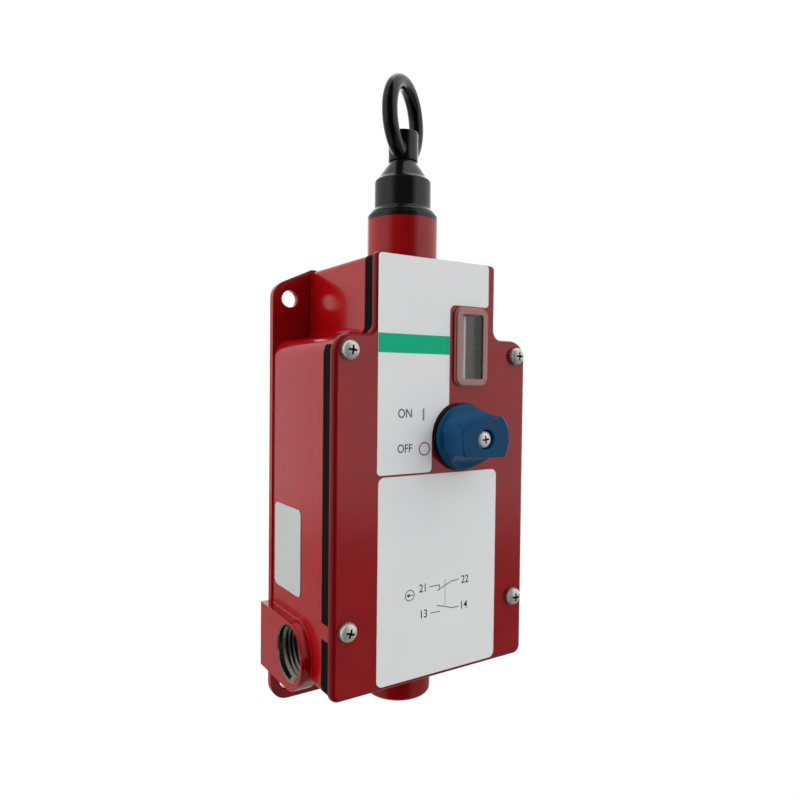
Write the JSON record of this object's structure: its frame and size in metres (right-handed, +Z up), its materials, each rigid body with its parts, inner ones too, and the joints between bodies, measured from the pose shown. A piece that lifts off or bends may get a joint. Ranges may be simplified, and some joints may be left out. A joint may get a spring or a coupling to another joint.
{
  "type": "rope pull switch",
  "caption": "Rope pull safety switch: cast red housing on a back plate, sprung pull shaft with eye and boot, blue reset knob, status window, side conduit entry.",
  "frame": {"origin": "on the mounting plane at the back, at the centre of the four mounting holes", "axes": "+X to the right seen from the front, +Y into the wall, +Z up along the pull axis"},
  "size_m": [0.0938, 0.0736, 0.261],
  "materials": {
    "red_enamel": "gloss red enamel on cast metal",
    "gasket_rubber": "matt black rubber",
    "clear_lens": "clear moulded polycarbonate",
    "label_white": "off-white satin polyester film",
    "screw_steel": "bright zinc plate",
    "bronze": "sintered bronze",
    "boot_rubber": "glossy black rubber",
    "spring_steel": "oiled spring steel",
    "plated_steel": "zinc-plated pressed steel",
    "ground_steel": "ground stainless steel",
    "black_enamel": "gloss black coated steel",
    "ivory_plastic": "moulded thermoset",
    "indicator_grey": "dark grey coated steel",
    "blue_plastic": "moulded dark blue plastic",
    "black_plastic": "moulded black plastic",
    "plunger_red": "moulded red plastic",
    "terminal_brass": "nickel-free brass",
    "green_zinc": "green dyed zinc plate"
  },
  "bodies": {
    "case": {"housing": "red_enamel", "cover_gasket": "gasket_rubber", "cover": "red_enamel", "cover_screws": "screw_steel", "lock_washers": "screw_steel", "window_lens": "clear_lens", "window_seal": "gasket_rubber", "upper_label": "label_white", "lower_label": "label_white", "side_label": "label_white", "upper_bush": "bronze", "lower_bush": "bronze", "shaft_seal": "gasket_rubber", "boot": "boot_rubber", "main_spring": "spring_steel", "top_spring_washer": "plated_steel", "pivot_screw": "plated_steel", "knob_ring": "black_plastic", "spindle_bush": "bronze", "guide_posts": "plated_steel", "switch_bracket": "plated_steel", "bracket_screw": "screw_steel", "switch_blocks": "ivory_plastic", "block_screws": "screw_steel", "terminal_screws": "terminal_brass", "ground_screw": "green_zinc"},
    "shaft": {"pull_shaft": "ground_steel", "eye_nut": "black_enamel", "spring_seat": "plated_steel", "seat_clip": "spring_steel", "cam_sleeve": "ivory_plastic", "cam_pin": "plated_steel", "indicator_rod": "indicator_grey"},
    "lever": {"trip_lever": "plated_steel", "follower_pin": "plated_steel"},
    "knob": {"reset_knob": "blue_plastic", "knob_screw": "screw_steel", "knob_spindle": "ground_steel", "reset_crank": "plated_steel"},
    "slide": {"reset_slide": "plated_steel"},
    "plungers": {"switch_plungers": "plunger_red"}
  },
  "joints": [
    {"name": "pull", "type": "slide", "parent": "case", "child": "shaft", "axis": [0, 0, 1], "range_m": [0, 0.014], "stiffness_N_per_m": 3000, "springref_m": -0.01, "deforming": ["main_spring", "boot"]},
    {"name": "lever_rock", "type": "hinge", "parent": "case", "child": "lever", "pos_m": [-0.03, -0.0437, 0.029], "axis": [0, -1, 0], "range_deg": [0, 26.4]},
    {"name": "knob_turn", "type": "hinge", "parent": "case", "child": "knob", "pos_m": [0.011, -0.06, 0.0254], "axis": [0, 1, 0], "range_deg": [0, 40.3]},
    {"name": "reset_lift", "type": "slide", "parent": "case", "child": "slide", "axis": [0, 0, 1], "range_m": [0, 0.00547]},
    {"name": "plunger_lift", "type": "slide", "parent": "case", "child": "plungers", "axis": [0, 0, 1], "range_m": [0, 0.0055]}
  ],
  "couplings": [
    {"joint": "lever_rock", "follows": "pull", "rad_per_m": 32.747},
    {"joint": "knob_turn", "follows": "reset_lift", "rad_per_m": 127.58},
    {"joint": "plunger_lift", "follows": "reset_lift", "ratio": 1}
  ]
}
